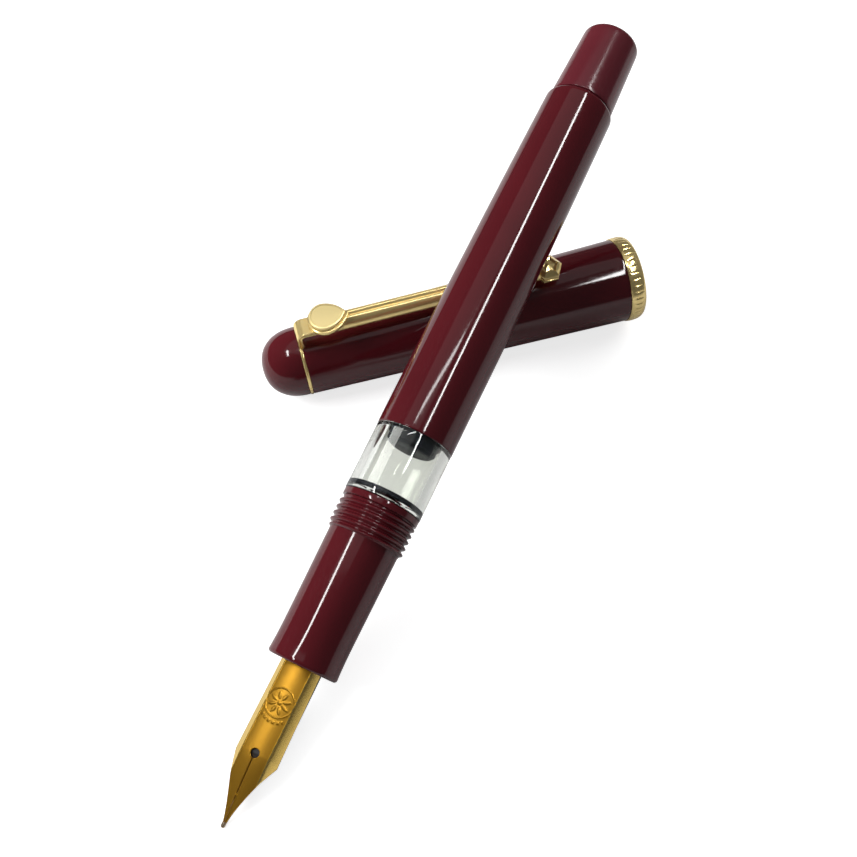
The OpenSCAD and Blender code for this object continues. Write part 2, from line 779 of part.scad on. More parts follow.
module medallion_base() {
    color(GOLD) cap_frame() difference() {
        translate([medallion_at, 0, plate_top])
            linear_extrude(height = medallion_t) medallion_outline(base_r);
        translate([0, 0, arm_height]) rod(arm_r + fit_gap, arm_at - fit_gap, clip_end_at);
    }
}

module medallion_face() {
    color(GOLD) cap_frame() translate([medallion_at, 0, plate_top + medallion_t])
        linear_extrude(height = medallion_t) medallion_outline(face_r);
}

nib();
nib_tipping();
feed();
nib_sleeve();
grip_section();
ink_window();
window_gasket();
barrel();
mechanism_housing();
housing_o_ring();
retaining_ring();
piston_rod();
piston_seal();
spindle();
turning_knob();
friction_washer();
cap_tube();
cap_liner();
cap_band();
cap_finial();
finial_screw();
clip_ring();
clip();
medallion_base();
medallion_face();
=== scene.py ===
import json
import math

import bmesh
import bpy
import numpy as np
from mathutils import Matrix, Vector


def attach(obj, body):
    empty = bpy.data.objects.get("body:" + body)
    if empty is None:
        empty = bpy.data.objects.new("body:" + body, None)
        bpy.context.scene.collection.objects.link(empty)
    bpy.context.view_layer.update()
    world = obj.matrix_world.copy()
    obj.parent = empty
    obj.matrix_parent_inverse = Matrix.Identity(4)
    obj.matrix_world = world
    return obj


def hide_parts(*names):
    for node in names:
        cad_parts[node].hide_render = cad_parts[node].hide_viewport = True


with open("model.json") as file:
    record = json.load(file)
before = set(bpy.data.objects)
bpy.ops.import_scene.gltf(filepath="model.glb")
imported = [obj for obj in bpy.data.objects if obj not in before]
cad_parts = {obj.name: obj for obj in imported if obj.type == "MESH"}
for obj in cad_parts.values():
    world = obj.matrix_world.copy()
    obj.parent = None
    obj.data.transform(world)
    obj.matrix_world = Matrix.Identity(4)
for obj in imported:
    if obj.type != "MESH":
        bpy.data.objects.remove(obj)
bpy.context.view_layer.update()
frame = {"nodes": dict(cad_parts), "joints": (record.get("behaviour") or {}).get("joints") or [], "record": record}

# ---- Table, lamps and camera ----
# A plain pale table top under a dim even sky. Wide soft lamps at the left and the right light the surfaces
# without a highlight, narrow tube lamps overhead only draw the thin bright lines on the polished resin,
# and a dim ceiling does both. None of it belongs to the pen.

scene = bpy.context.scene
scene.view_settings.view_transform = "Standard"

mm = 0.001


def new_material(name):
    """A node material with its Principled shader: (material, nodes, links, shader)."""
    material = bpy.data.materials.new(name)
    material.use_nodes = True
    tree = material.node_tree
    return material, tree.nodes, tree.links, tree.nodes["Principled BSDF"]


def hang_lamp(name, start, end, width, radiance, target, reflected=True, lighting=True):
    """A flat lamp from start to end, in millimetres, that faces the target point. Its power is four times its
    radiance times its area. A lamp that isn't reflected draws no highlight, and one without lighting draws
    only its highlight."""
    start, end, target = Vector(start) * mm, Vector(end) * mm, Vector(target) * mm
    middle = (start + end) / 2
    back = (middle - target).normalized()
    along = (end - start) - back * (end - start).dot(back)
    along.normalize()
    data = bpy.data.lights.new(name, "AREA")
    data.shape = "RECTANGLE"
    data.size, data.size_y = (end - start).length, width * mm
    data.energy = 4 * radiance * data.size * data.size_y
    lamp = bpy.data.objects.new(name, data)
    turn = Matrix((along, back.cross(along), back)).transposed()
    lamp.matrix_world = Matrix.Translation(middle) @ turn.to_4x4()
    lamp.visible_glossy = reflected
    lamp.visible_diffuse = lighting
    scene.collection.objects.link(lamp)


hang_lamp("tube_over_barrel", (-20, -165, 300), (175, -68, 300), 20, 24, (20, -6, 20), lighting=False)
hang_lamp("tube_over_cap", (-8, 26, 300), (30, -54, 300), 14, 12, (20, 0, 10), lighting=False)
hang_lamp("tube_over_grip", (-40, 134, 300), (-125, 74, 300), 22, 22, (-30, -6, 10), lighting=False)
hang_lamp("soft_left", (-300, 260, 300), (100, 420, 300), 300, 6.5, (0, 0, 10), reflected=False)
hang_lamp("soft_right", (420, -380, 300), (560, 60, 300), 250, 4.5, (30, -20, 10), reflected=False)
hang_lamp("ceiling", (-150, 100, 600), (350, 100, 600), 500, 0.32, (50, 50, 10))

world = bpy.data.worlds.new("dim_room")
world.use_nodes = True
world.node_tree.nodes["Background"].inputs["Color"].default_value = (0.93, 0.96, 1, 1)
world.node_tree.nodes["Background"].inputs["Strength"].default_value = 0.08
scene.world = world

bpy.ops.mesh.primitive_plane_add(size=6)
table_top = bpy.context.object
table_top.name = "table_top"
material, nodes, links, shader = new_material("white_table")
shader.inputs["Roughness"].default_value = 0.9
shader.inputs["Base Color"].default_value = (0.62, 0.62, 0.62, 1)
# The table's own glow is only for the eye: full when seen directly, and weaker through the clear window.
table_glow, glow_through_window = 0.77, 0.3
glow, blend, ray = (nodes.new("ShaderNodeEmission"), nodes.new("ShaderNodeAddShader"),
    nodes.new("ShaderNodeLightPath"))
faint = nodes.new("ShaderNodeMath")
faint.operation = "MULTIPLY"
faint.inputs[1].default_value = table_glow
seen = nodes.new("ShaderNodeMath")
seen.operation = "MULTIPLY_ADD"
seen.inputs[1].default_value = glow_through_window
links.new(ray.outputs["Is Transmission Ray"], seen.inputs[0])
links.new(ray.outputs["Is Camera Ray"], seen.inputs[2])
links.new(seen.outputs[0], faint.inputs[0])
links.new(faint.outputs[0], glow.inputs["Strength"])
links.new(shader.outputs[0], blend.inputs[0])
links.new(glow.outputs[0], blend.inputs[1])
links.new(blend.outputs[0], nodes["Material Output"].inputs["Surface"])
table_top.data.materials.append(material)

azimuth, elevation, roll = np.radians((-60.81, 57.66, -2.885))
back = Vector((math.sin(azimuth) * math.cos(elevation), -math.cos(azimuth) * math.cos(elevation),
    math.sin(elevation)))
level = Vector((math.cos(azimuth), math.sin(azimuth), 0))
right = level * math.cos(roll) + back.cross(level) * math.sin(roll)
camera_data = bpy.data.cameras.new("camera")
camera_data.sensor_width = 36
camera_data.lens = 43.14
camera_data.clip_start = 0.005
camera = bpy.data.objects.new("camera", camera_data)
camera.matrix_world = (Matrix.Translation((-0.07266, -0.04454, 0.13588))
    @ Matrix((right, back.cross(right), back)).transposed().to_4x4())
scene.collection.objects.link(camera)
scene.camera = camera

# ---- Ink window with its reservoir tube ----
# Clear moulded tube, polished in and out. Its front spigot is cemented into the grip, and its long neck
# is screwed into the barrel, where the piston runs in its bore.

joints = {joint["name"]: joint for joint in frame["joints"]}
mounts = {mount["name"]: mount for mount in frame["record"]["mounts"]}


def node_points(node):
    """All vertices of a CAD node, in millimetres."""
    vertices = frame["nodes"][node].data.vertices
    flat = np.zeros(len(vertices) * 3)
    vertices.foreach_get("co", flat)
    return flat.reshape(-1, 3) / mm


def reach(node, seat):
    """Lowest station, highest station and largest radius of a CAD node about a seat's axis."""
    local = (node_points(node) - seat[0]) @ seat[1].T
    return local[:, 0].min(), local[:, 0].max(), np.hypot(local[:, 1], local[:, 2]).max()


def make_seat(on_axis, along, crown, first_node):
    """A seat is an origin and three axes: along the piece, across it, and towards its crown side. Its origin
    is the point of the axis that is level with the first node's front end."""
    axes = np.array([along, np.cross(crown, along), crown])
    seat = (np.array(on_axis), axes)
    return seat[0] + axes[0] * reach(first_node, seat)[0], axes


knob_turn = joints["knob_turn"]
pen_along = np.array(knob_turn["axis"])
pen_seat = make_seat(np.array(knob_turn["pos_m"]) / mm, pen_along, np.cross(pen_along, (0, 1, 0)),
    "nib_tipping")

grip_front, window_front, _ = reach("grip_section", pen_seat)
barrel_front, barrel_rear, _ = reach("barrel", pen_seat)
tube_front, tube_rear, window_r = reach("ink_window", pen_seat)


def rounded(corners, radius, steps=5):
    """A closed outline through the corners (station, radius), each rounded by an arc that touches both of its
    sides: the arc starts radius / tan(half the corner's angle) before the corner."""
    corners = np.array(corners, float)
    outline = []
    for before, here, after in zip(np.roll(corners, 1, 0), corners, np.roll(corners, -1, 0)):
        to_before, to_after = before - here, after - here
        reach_before, reach_after = np.linalg.norm(to_before), np.linalg.norm(to_after)
        to_before, to_after = to_before / reach_before, to_after / reach_after
        half = math.acos(np.clip(to_before @ to_after, -1, 1)) / 2
        if abs(half - math.pi / 2) < 0.02:
            outline.append(here[None])
            continue
        tangent = min(radius / math.tan(half), 0.45 * reach_before, 0.45 * reach_after)
        arc_r = tangent * math.tan(half)
        middle = (to_before + to_after) / np.linalg.norm(to_before + to_after) * arc_r / math.sin(half)
        spread = np.linspace(-1, 1, steps + 1)[:, None] * (math.pi / 2 - half)
        inward = -middle / np.linalg.norm(middle)
        side = (to_after - to_before) / np.linalg.norm(to_after - to_before)
        outline.append(here + middle + arc_r * (np.cos(spread) * inward + np.sin(spread) * side))
    return np.concatenate(outline)


def refined(outline, longest, closed=True):
    """The same outline with points added along it, so that no side is longer than the given length."""
    ends = np.roll(outline, -1, 0) if closed else outline[1:]
    pieces = [np.linspace(a, b, max(1, math.ceil(np.linalg.norm(b - a) / longest)), endpoint=False)
        for a, b in zip(outline, ends)]
    return np.concatenate(pieces if closed else [*pieces, outline[-1:]])


def lay_surface(name, points, seat, ring=True, loop=False, uv=None, kept=None, crease=35):
    """A mesh of quads over a grid of points (rows, columns, 3) in a seat's millimetres. With ring, the last
    column joins the first, and with loop, the last row joins the first. Points that fall together, as at a
    pole, are merged, and the faces are turned outwards. kept masks the quads that are made."""
    rows, columns = points.shape[:2]
    world_points = (seat[0] + points.reshape(-1, 3) @ seat[1]) * mm
    down = np.arange(rows if loop else rows - 1)[:, None]
    over = np.arange(columns if ring else columns - 1)[None]
    around = ((0, 0), (0, 1), (1, 1), (1, 0))
    corners = [(down + i) % rows * columns + (over + j) % columns for i, j in around]
    quads = np.stack(corners, -1)
    if uv is None:
        spots = [np.stack(np.broadcast_arrays((down + i) / len(down), (over + j) / over.size), -1)
            for i, j in around]
    else:
        spots = [uv[(down + i) % rows, (over + j) % columns] for i, j in around]
    spots = np.stack(spots, -2)
    if kept is not None:
        quads, spots = quads[kept], spots[kept]
    mesh = bpy.data.meshes.new(name)
    mesh.from_pydata(world_points.tolist(), [], quads.reshape(-1, 4).tolist())
    mesh.uv_layers.new(name="UVMap").data.foreach_set("uv", spots.astype(np.float32).ravel())
    shell = bmesh.new()
    shell.from_mesh(mesh)
    bmesh.ops.remove_doubles(shell, verts=shell.verts, dist=2e-7)
    bmesh.ops.recalc_face_normals(shell, faces=shell.faces)
    shell.to_mesh(mesh)
    shell.free()
    mesh.polygons.foreach_set("use_smooth", np.ones(len(mesh.polygons), bool))
    mesh.set_sharp_from_angle(angle=math.radians(crease))
    piece = bpy.data.objects.new(name, mesh)
    scene.collection.objects.link(piece)
    return piece


def turned(outline, columns=144, lift=None):
    """Points of an outline (station, radius) turned about the seat's axis:
    (station, radius cos a, radius sin a). lift(station, angle) is added to the radius."""
    angle = np.linspace(0, 2 * np.pi, columns, endpoint=False)[None]
    station, radius = outline[:, :1], outline[:, 1:]
    if lift is not None:
        radius = radius + lift(station, angle)
    return np.stack(np.broadcast_arrays(station, radius * np.cos(angle), radius * np.sin(angle)), -1)


def finish_piece(piece, material, body, slot, *replaced):
    """Gives a piece its material and its body, and hides the CAD nodes that it stands for. The slot is not used.
    """
    piece.data.materials.append(material)
    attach(piece, body)
    if replaced:
        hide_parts(*replaced)


def make_handling_marks():
    """Group: the film that fingers and cloth leave on a polished surface. Streaks is long low noise and Grain
    is fine noise, and both are mixed into one roughness and one height."""
    group = bpy.data.node_groups.new("handling_marks", "ShaderNodeTree")
    for name, start in (("Streak Scale", 90), ("Grain Scale", 1800), ("Low Roughness", 0.08),
            ("High Roughness", 0.2)):
        socket = group.interface.new_socket(name=name, in_out="INPUT", socket_type="NodeSocketFloat")
        socket.default_value = start
    for name in ("Roughness", "Height"):
        group.interface.new_socket(name=name, in_out="OUTPUT", socket_type="NodeSocketFloat")
    nodes, links = group.nodes, group.links
    entry, leave = nodes.new("NodeGroupInput"), nodes.new("NodeGroupOutput")
    place = nodes.new("ShaderNodeTexCoord")
    streaks, grain = nodes.new("ShaderNodeTexNoise"), nodes.new("ShaderNodeTexNoise")
    streaks.inputs["Detail"].default_value = 6
    grain.inputs["Detail"].default_value = 3
    links.new(place.outputs["Object"], streaks.inputs["Vector"])
    links.new(place.outputs["Object"], grain.inputs["Vector"])
    links.new(entry.outputs["Streak Scale"], streaks.inputs["Scale"])
    links.new(entry.outputs["Grain Scale"], grain.inputs["Scale"])
    both = nodes.new("ShaderNodeMath")
    both.operation = "MULTIPLY"
    links.new(streaks.outputs["Fac"], both.inputs[0])
    links.new(grain.outputs["Fac"], both.inputs[1])
    spread = nodes.new("ShaderNodeMapRange")
    spread.inputs["From Min"].default_value = 0.12
    spread.inputs["From Max"].default_value = 0.42
    links.new(both.outputs[0], spread.inputs["Value"])
    links.new(entry.outputs["Low Roughness"], spread.inputs["To Min"])
    links.new(entry.outputs["High Roughness"], spread.inputs["To Max"])
    links.new(spread.outputs["Result"], leave.inputs["Roughness"])
    links.new(both.outputs[0], leave.inputs["Height"])
    return group


handling_marks = make_handling_marks()


def add_marks(nodes, links, shader, low, high, streak_scale=90, grain_scale=1800, bump=0.02):
    """Places the handling marks in a material and bumps its normal with them."""
    marks = nodes.new("ShaderNodeGroup")
    marks.node_tree = handling_marks
    marks.inputs["Low Roughness"].default_value = low
    marks.inputs["High Roughness"].default_value = high
    marks.inputs["Streak Scale"].default_value = streak_scale
    marks.inputs["Grain Scale"].default_value = grain_scale
    links.new(marks.outputs["Roughness"], shader.inputs["Roughness"])
    dent = nodes.new("ShaderNodeBump")
    dent.inputs["Strength"].default_value = bump
    dent.inputs["Distance"].default_value = 0.0001
    links.new(marks.outputs["Height"], dent.inputs["Height"])
    links.new(dent.outputs["Normal"], shader.inputs["Normal"])
    return marks


def mottled(nodes, links, shader, dark, light, scale, socket="Base Color"):
    """A base colour that drifts between two shades with low noise."""
    place, noise, ramp = (nodes.new("ShaderNodeTexCoord"), nodes.new("ShaderNodeTexNoise"),
        nodes.new("ShaderNodeMix"))
    ramp.data_type = "RGBA"
    noise.inputs["Scale"].default_value = scale
    noise.inputs["Detail"].default_value = 4
    links.new(place.outputs["Object"], noise.inputs["Vector"])
    links.new(noise.outputs["Fac"], ramp.inputs["Factor"])
    ramp.inputs["A"].default_value = (*dark, 1)
    ramp.inputs["B"].default_value = (*light, 1)
    links.new(ramp.outputs["Result"], shader.inputs[socket])
    return ramp


clear_resin, nodes, links, shader = new_material("clear_resin")
shader.inputs["Transmission Weight"].default_value = 1
shader.inputs["IOR"].default_value = 1.49
mottled(nodes, links, shader, (0.845, 0.865, 0.815), (0.90, 0.915, 0.875), 60)
add_marks(nodes, links, shader, 0.0, 0.03, bump=0.01)

spigot_r, neck_r, bore_r, channel_r, floor_t = 4.18, 4.98, 4.1, 1.5, 0.9
tube_corners = [(tube_front, channel_r), (tube_front, spigot_r), (window_front + 0.01, spigot_r),
    (window_front + 0.01, window_r), (barrel_front, window_r), (barrel_front, neck_r), (tube_rear, neck_r),
    (tube_rear, bore_r), (window_front + floor_t, bore_r), (window_front + floor_t, channel_r)]
tube = lay_surface("ink_window_tube", turned(refined(rounded(tube_corners, 0.12), 1)), pen_seat, loop=True)
finish_piece(tube, clear_resin, "pen", "clear_resin", "ink_window")

# ---- Window gasket ----
# Black rubber washer that is pressed flat on the window's floor. Its rim is squeezed against the bore.

black_rubber, nodes, links, shader = new_material("black_rubber")
shader.inputs["Specular IOR Level"].default_value = 0.2
mottled(nodes, links, shader, (0.007, 0.009, 0.014), (0.015, 0.017, 0.024), 400)
add_marks(nodes, links, shader, 0.45, 0.65, 300, 3000, 0.1)

gasket_front, gasket_t, gasket_bore_r, squeeze = window_front + floor_t, 0.6, 3.2, 0.015
gasket_corners = [(gasket_front, gasket_bore_r), (gasket_front, bore_r + squeeze),
    (gasket_front + gasket_t, bore_r + squeeze), (gasket_front + gasket_t, gasket_bore_r)]
gasket = lay_surface("gasket_washer", turned(refined(rounded(gasket_corners, 0.08), 0.5)), pen_seat,
    loop=True)
finish_piece(gasket, black_rubber, "pen", "black_rubber", "window_gasket")

# ---- Grip section ----
# Burgundy resin, turned and polished. It flares a little at the lip in front, and the five-crest cap thread
# and a plain collar stand at its rear. The bore takes the nib unit from the front and the window behind.


def make_resin_depth():
    """Group: the slow drift of shade inside a cast resin, with a few fine darker clouds."""
    group = bpy.data.node_groups.new("resin_depth", "ShaderNodeTree")
    for name in ("Deep", "Bright"):
        group.interface.new_socket(name=name, in_out="INPUT", socket_type="NodeSocketColor")
    cloud_size = group.interface.new_socket(name="Cloud Scale", in_out="INPUT", socket_type="NodeSocketFloat")
    cloud_size.default_value = 70
    group.interface.new_socket(name="Color", in_out="OUTPUT", socket_type="NodeSocketColor")
    nodes, links = group.nodes, group.links
    entry, leave = nodes.new("NodeGroupInput"), nodes.new("NodeGroupOutput")
    place, clouds = nodes.new("ShaderNodeTexCoord"), nodes.new("ShaderNodeTexNoise")
    clouds.inputs["Detail"].default_value = 5
    clouds.inputs["Distortion"].default_value = 0.6
    blend = nodes.new("ShaderNodeMix")
    blend.data_type = "RGBA"
    links.new(place.outputs["Object"], clouds.inputs["Vector"])
    links.new(entry.outputs["Cloud Scale"], clouds.inputs["Scale"])
    links.new(clouds.outputs["Fac"], blend.inputs["Factor"])
    links.new(entry.outputs["Deep"], blend.inputs["A"])
    links.new(entry.outputs["Bright"], blend.inputs["B"])
    links.new(blend.outputs["Result"], leave.inputs["Color"])
    return group


resin_depth = make_resin_depth()


def make_resin(name, deep, bright, low, high, bump):
    """Polished cast resin: drifting burgundy under a clear polish."""
    material, nodes, links, shader = new_material(name)
    depth = nodes.new("ShaderNodeGroup")
    depth.node_tree = resin_depth
    depth.inputs["Deep"].default_value = (*deep, 1)
    depth.inputs["Bright"].default_value = (*bright, 1)
    links.new(depth.outputs["Color"], shader.inputs["Base Color"])
    shader.inputs["IOR"].default_value = 1.5
    shader.inputs["Coat Weight"].default_value = 0.1
    shader.inputs["Specular IOR Level"].default_value = 0.4
    shader.inputs["Coat Roughness"].default_value = 0.03
    add_marks(nodes, links, shader, low, high, bump=bump)
    return material


burgundy_resin = make_resin("burgundy_resin", (0.060, 0.0055, 0.0085), (0.094, 0.0080, 0.0120), 0.05, 0.12,
    0.02)

thread_rear, thread_turns, thread_pitch, thread_root_r, thread_depth = window_front - 1, 5, 0.93, 5.18, 0.42
thread_front = thread_rear - thread_turns * thread_pitch
lip_r, waist_r, grip_rear_r, lip_round = 5.05, 4.83, 5.1, 0.45
collar_r, sleeve_seat_r, sleeve_lip_r = 5.58, 4.0, 3.8
sleeve_rear = reach("nib_sleeve", pen_seat)[1]


def thread_relief(station, angle, start, turns, pitch, depth):
    """Height of a screw thread over its root. A ridge follows the helix
    station / pitch - angle / 360 degrees, its section is a cosine, and it runs out over a third of a turn
    at both ends."""
    along = (station - start) / pitch
    phase = along - angle / (2 * np.pi)
    ridge = 0.5 + 0.5 * np.cos(2 * np.pi * phase)
    ease = np.clip(along / 0.35, 0, 1) * np.clip((turns - along) / 0.35, 0, 1)
    return depth * ridge * ease


grip_stations = np.linspace(grip_front + lip_round, thread_front, 60)
along_grip = (grip_stations - grip_front) / (thread_front - grip_front)
grip_radii = waist_r + (grip_rear_r - waist_r) * along_grip + (lip_r - waist_r) * (1 - along_grip) ** 9
lip_turn = np.linspace(0, np.pi / 2, 8, endpoint=False)
lip = np.stack([grip_front + lip_round * (1 - np.sin(lip_turn)),
    grip_radii[0] - lip_round * (1 - np.cos(lip_turn))], -1)[::-1]
thread_root = np.stack([np.linspace(thread_front + 0.01, thread_rear, 110), np.full(110, thread_root_r)], -1)
collar = rounded([(thread_rear + 0.02, thread_root_r - 0.01), (thread_rear + 0.1, collar_r),
    (window_front, collar_r), (window_front, 4.2)], 0.1)[6:18]
grip_bore = [(window_front, 4.2), (window_front - 6, 4.2), (window_front - 6, 1.5), (sleeve_rear, 1.5),
    (sleeve_rear, sleeve_seat_r), (grip_front + 1.2, sleeve_seat_r), (grip_front + 1.2, sleeve_lip_r),
    (grip_front + 0.2, sleeve_lip_r), (grip_front, sleeve_lip_r + 0.2)]
grip_outline = refined(np.concatenate([lip, np.stack([grip_stations, grip_radii], -1), thread_root, collar,
    np.array(grip_bore)]), 0.5)
grip = lay_surface("grip_body", turned(grip_outline, 240, lambda station, angle: np.where(
    (station > thread_front) & (station < thread_rear) & (grip_outline[:, 1:] > 5),
    thread_relief(station, angle, thread_front, thread_turns, thread_pitch, thread_depth), 0)),
    pen_seat, loop=True)
finish_piece(grip, burgundy_resin, "pen", "burgundy_resin", "grip_section")

# ---- Nib sleeve and feed ----
# Black moulded plastic. The sleeve screws into the grip and squeezes the nib on the feed, whose fins hold
# spare ink under the nib.

black_plastic, nodes, links, shader = new_material("black_plastic")
mottled(nodes, links, shader, (0.012, 0.012, 0.013), (0.022, 0.021, 0.020), 500)
add_marks(nodes, links, shader, 0.3, 0.5, 300, 4000, 0.08)


def repaint(node, material):
    """A CAD node whose shape is right keeps it and gets its finish."""
    frame["nodes"][node].data.materials.clear()
    frame["nodes"][node].data.materials.append(material)


repaint("nib_sleeve", black_plastic)
repaint("feed", black_plastic)

# ---- Nib ----
# Gold-plated sheet, stamped and rolled. A slit runs from the breather hole to the tip. The middle panel is
# brushed and carries an ornament struck in low relief, and both flanks are polished.

tip_length, shoulder_at, shoulder_w, root_w, tip_w = 0.8, 9.2, 3.1, 2.9, 0.276
crown_z, roll_r, sheet_t, tip_t = 1.85, 3.7, 0.32, 0.5
crease_y, panel_y, panel_drop = 2.05, 1.92, 0.286
hole_at, hole_r, slit_w = 9.9, 0.6, 0.09
notch_at = 4.6
nib_rear = reach("nib", pen_seat)[1]
ring_at, ring_r = 16.7, 1.9


def nib_half_width(s):
    """Half width: a hollow curve from the tip to the shoulders, then a straight taper to the root."""
    tine = tip_w + (shoulder_w - tip_w) * np.clip((s - tip_length) / (shoulder_at - tip_length), 0, 1) ** 1.25
    root = shoulder_w + (root_w - shoulder_w) * np.clip((s - shoulder_at) / (grip_front - shoulder_at), 0, 1)
    return np.where(s < shoulder_at, tine, root)


def nib_crown(s):
    """Height of the crown line: rises from the tip with a falling slope and is level past the hole."""
    rise = 1 - np.clip(1 - (s - tip_length) / (hole_at - tip_length), 0, 1) ** 1.3
    return 0.24 + (crown_z - 0.24) * rise


def raised(distance, width):
    """A rounded line in relief: one in the middle and nothing past its half width."""
    return np.clip(1 - (distance / width) ** 2, 0, 1)


def nib_drop(y):
    """How far the sheet falls away from the crown line at a distance y from it. A nearly flat panel, a * y^2,
    turns at the creases into steep flanks, m * (y - crease), so that the edge is as low as on the rolled
    sheet."""
    bow = panel_drop / crease_y ** 2
    edge_drop = roll_r - math.sqrt(roll_r ** 2 - shoulder_w ** 2)
    flank = (edge_drop - bow * shoulder_w ** 2) / (shoulder_w - crease_y)
    past = y - crease_y
    return bow * y ** 2 + flank * (past + np.sqrt(past ** 2 + 0.01)) / 2


def nib_ornament(s, y):
    """Relief of the struck ornament, from 0 to 1: a ring, an eight-petal flower in it, and an arc of beads
    on the side of the hole."""
    across, along = y, s - ring_at
    far, turn = np.hypot(across, along), np.arctan2(across, -along)
    relief = np.maximum(raised(far - ring_r, 0.10), raised(far, 0.3))
    from_middle = (turn * 8 / (2 * np.pi)) % 1 - 0.5
    petal_w = 0.26 * np.sin(np.pi * np.clip((far - 0.45) / 1.1, 0, 1)) ** 0.8 + 1e-3
    relief = np.maximum(relief, raised(from_middle * far * np.pi / 4, petal_w) * (petal_w > 0.02))
    bead_turn, bead_r, bead_gap = 0.26, 0.22, 0.62
    beads = raised(((turn / bead_turn) % 1 - 0.5) * bead_turn * far, bead_r) * (np.abs(turn) < 0.65)
    return np.maximum(relief, raised(far - ring_r - bead_gap, bead_r) * beads)


def nib_half(side):
    """One half of the nib as rows of closed loops: out over the top, round the edge, and back underneath. The
    inner edge follows the slit and the hole's circle, y = sqrt(r^2 - (s - hole)^2), and is the middle line
    behind the hole. The first and the last loop are drawn together to close the ends."""
    hole_turn = hole_at + hole_r * np.cos(np.linspace(np.pi, 0, 25))
    ornament_end = ring_at + 3.2
    s = np.unique(np.concatenate([np.linspace(tip_length, hole_at - hole_r, 110), hole_turn,
        np.linspace(hole_at + hole_r, ornament_end, 210), np.linspace(ornament_end, nib_rear, 50)]))[:, None]
    inner = np.where(s < hole_at, slit_w / 2, 0)
    inner = np.maximum(inner, np.sqrt(np.clip(hole_r ** 2 - (s - hole_at) ** 2, 0, None)))
    outer = nib_half_width(s)
    thick = np.where(s < 5, tip_t + (sheet_t - tip_t) * (s - tip_length) / 4.2, sheet_t)
    y = inner + (outer - 0.05 - inner) * np.linspace(0, 1, 76)[None]
    panel = np.clip((panel_y - y) / 0.05, 0, 1)
    lift = 0.07 * nib_ornament(s, y * side) * (s > ring_at - 4)
    ridge = 0.05 * raised(y, 0.22) * np.clip((notch_at - s) / 0.3, 0, 1)
    bevel = -0.06 * np.clip(1 - (y - inner) / 0.1, 0, 1) * (s < hole_at + hole_r + 0.01) * (s > notch_at)
    top = nib_crown(s) - nib_drop(y) - 0.03 * panel + lift + ridge + bevel
    upper = np.stack(np.broadcast_arrays(s, y * side, top), -1)
    edge_z = nib_crown(s) - nib_drop(outer) - thick * np.array([[0.25, 0.75]])
    edge = np.stack(np.broadcast_arrays(s, outer * side, edge_z), -1)
    under_y = inner + (outer - 0.05 - inner) * np.linspace(1, 0, 16)[None]
    lower = np.stack(np.broadcast_arrays(s, under_y * side, nib_crown(s) - nib_drop(under_y) - thick), -1)
    points = np.concatenate([upper, edge, lower], 1)
    uv = np.stack([points[..., 0] / 30, 0.5 + points[..., 1] / (2 * shoulder_w)], -1)
    points = np.concatenate([points[:1].mean(1, keepdims=True).repeat(points.shape[1], 1), points,
        points[-1:].mean(1, keepdims=True).repeat(points.shape[1], 1)])
    kept = np.ones((len(points), points.shape[1]), bool)
    kept[1:-2, -1] = s[:-1, 0] < hole_at + hole_r - 1e-6
    kept[-1] = False
    return points, np.concatenate([uv[:1], uv, uv[-1:]]), kept


def make_brushing():
    """Group: fine lines left by a brush or a file, as noise stretched along the U direction of the UV map."""
    group = bpy.data.node_groups.new("brushing", "ShaderNodeTree")
    for name, start in (("Along", 12), ("Across", 900)):
        socket = group.interface.new_socket(name=name, in_out="INPUT", socket_type="NodeSocketFloat")
        socket.default_value = start
    group.interface.new_socket(name="Lines", in_out="OUTPUT", socket_type="NodeSocketFloat")
    nodes, links = group.nodes, group.links
    entry, leave = nodes.new("NodeGroupInput"), nodes.new("NodeGroupOutput")
    place, scale, noise = (nodes.new("ShaderNodeTexCoord"), nodes.new("ShaderNodeCombineXYZ"),
        nodes.new("ShaderNodeTexNoise"))
    stretch = nodes.new("ShaderNodeVectorMath")
    stretch.operation = "MULTIPLY"
    links.new(entry.outputs["Along"], scale.inputs["X"])
    links.new(entry.outputs["Across"], scale.inputs["Y"])
    links.new(place.outputs["UV"], stretch.inputs[0])
    links.new(scale.outputs["Vector"], stretch.inputs[1])
    links.new(stretch.outputs["Vector"], noise.inputs["Vector"])
    noise.inputs["Scale"].default_value = 1
    noise.inputs["Detail"].default_value = 4
    links.new(noise.outputs["Fac"], leave.inputs["Lines"])
    return group


brushing = make_brushing()


def make_gold(name, metal, deep, bright, low, high, along, across, dent):
    """Gold plate: two shades of gold and a roughness that follow the brushed lines."""
    material, nodes, links, shader = new_material(name)
    shader.inputs["Metallic"].default_value = metal
    lines = nodes.new("ShaderNodeGroup")
    lines.node_tree = brushing
    lines.inputs["Along"].default_value = along
    lines.inputs["Across"].default_value = across
    shade = nodes.new("ShaderNodeMix")
    shade.data_type = "RGBA"
    shade.inputs["A"].default_value = (*deep, 1)
    shade.inputs["B"].default_value = (*bright, 1)
    rough = nodes.new("ShaderNodeMapRange")
    rough.inputs["To Min"].default_value = low
    rough.inputs["To Max"].default_value = high
    bump = nodes.new("ShaderNodeBump")
    bump.inputs["Strength"].default_value = dent
    bump.inputs["Distance"].default_value = 0.00005
    links.new(lines.outputs["Lines"], shade.inputs["Factor"])
    links.new(lines.outputs["Lines"], rough.inputs["Value"])
    links.new(lines.outputs["Lines"], bump.inputs["Height"])
    links.new(shade.outputs["Result"], shader.inputs["Base Color"])
    links.new(rough.outputs["Result"], shader.inputs["Roughness"])
    links.new(bump.outputs["Normal"], shader.inputs["Normal"])
    return material, nodes, links, shader, rough


